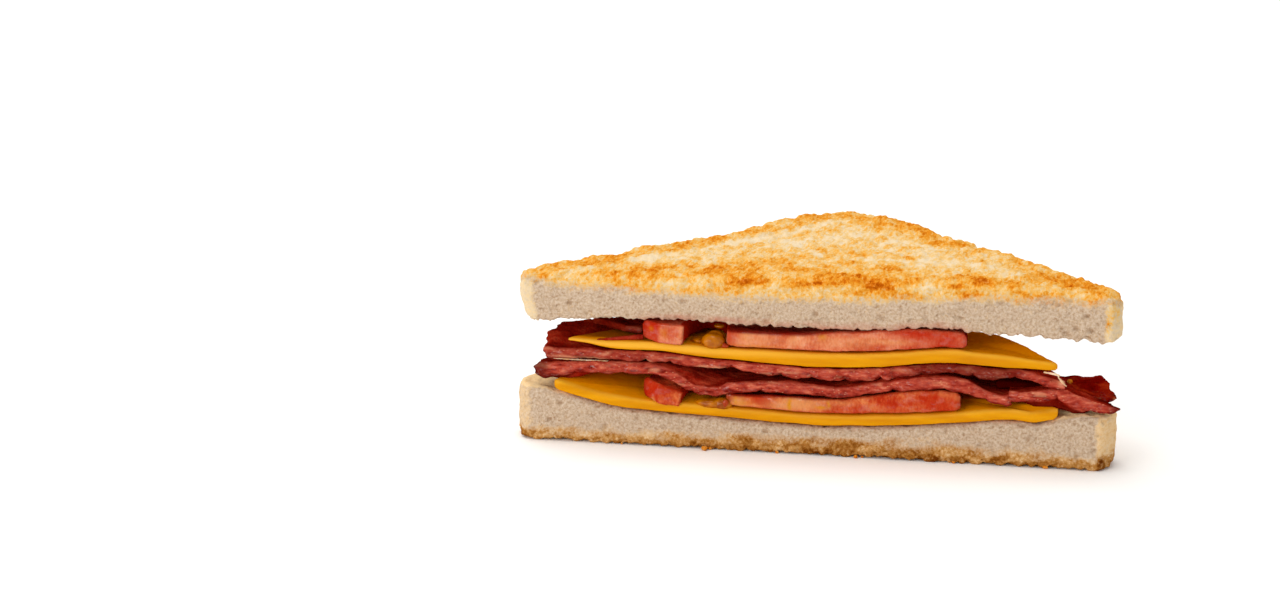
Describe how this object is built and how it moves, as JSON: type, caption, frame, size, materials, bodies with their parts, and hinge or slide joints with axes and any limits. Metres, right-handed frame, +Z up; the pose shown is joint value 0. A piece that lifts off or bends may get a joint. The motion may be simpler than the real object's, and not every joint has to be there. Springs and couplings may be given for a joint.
{
  "type": "toasted sandwich half",
  "caption": "Half of a toasted sandwich cut from corner to corner and lying flat, with bacon, cheese and tomato between slices of white toast.",
  "frame": {"origin": "middle of the bounding box, on the surface that the sandwich lies on", "axes": "+X along the cut to the right, seen from the cut face; +Y from the cut face to the far corner; +Z up"},
  "size_m": [0.152, 0.0816, 0.0461],
  "materials": {
    "bread_crumb": "matte",
    "toasted_bread": "matte",
    "cheese": "satin",
    "tomato": "gloss",
    "bacon": "satin",
    "crisp_bacon": "satin"
  },
  "bodies": {
    "root": {"bottom_toast": "bread_crumb", "lower_cheese": "cheese", "lower_tomato": "tomato", "lower_bacon": "bacon", "tail_bacon": "bacon", "crisp_bacon": "crisp_bacon", "upper_bacon": "bacon", "upper_cheese": "cheese", "scrap_bacon": "bacon", "upper_tomato": "tomato", "top_toast": "toasted_bread"}
  },
  "joints": []
}
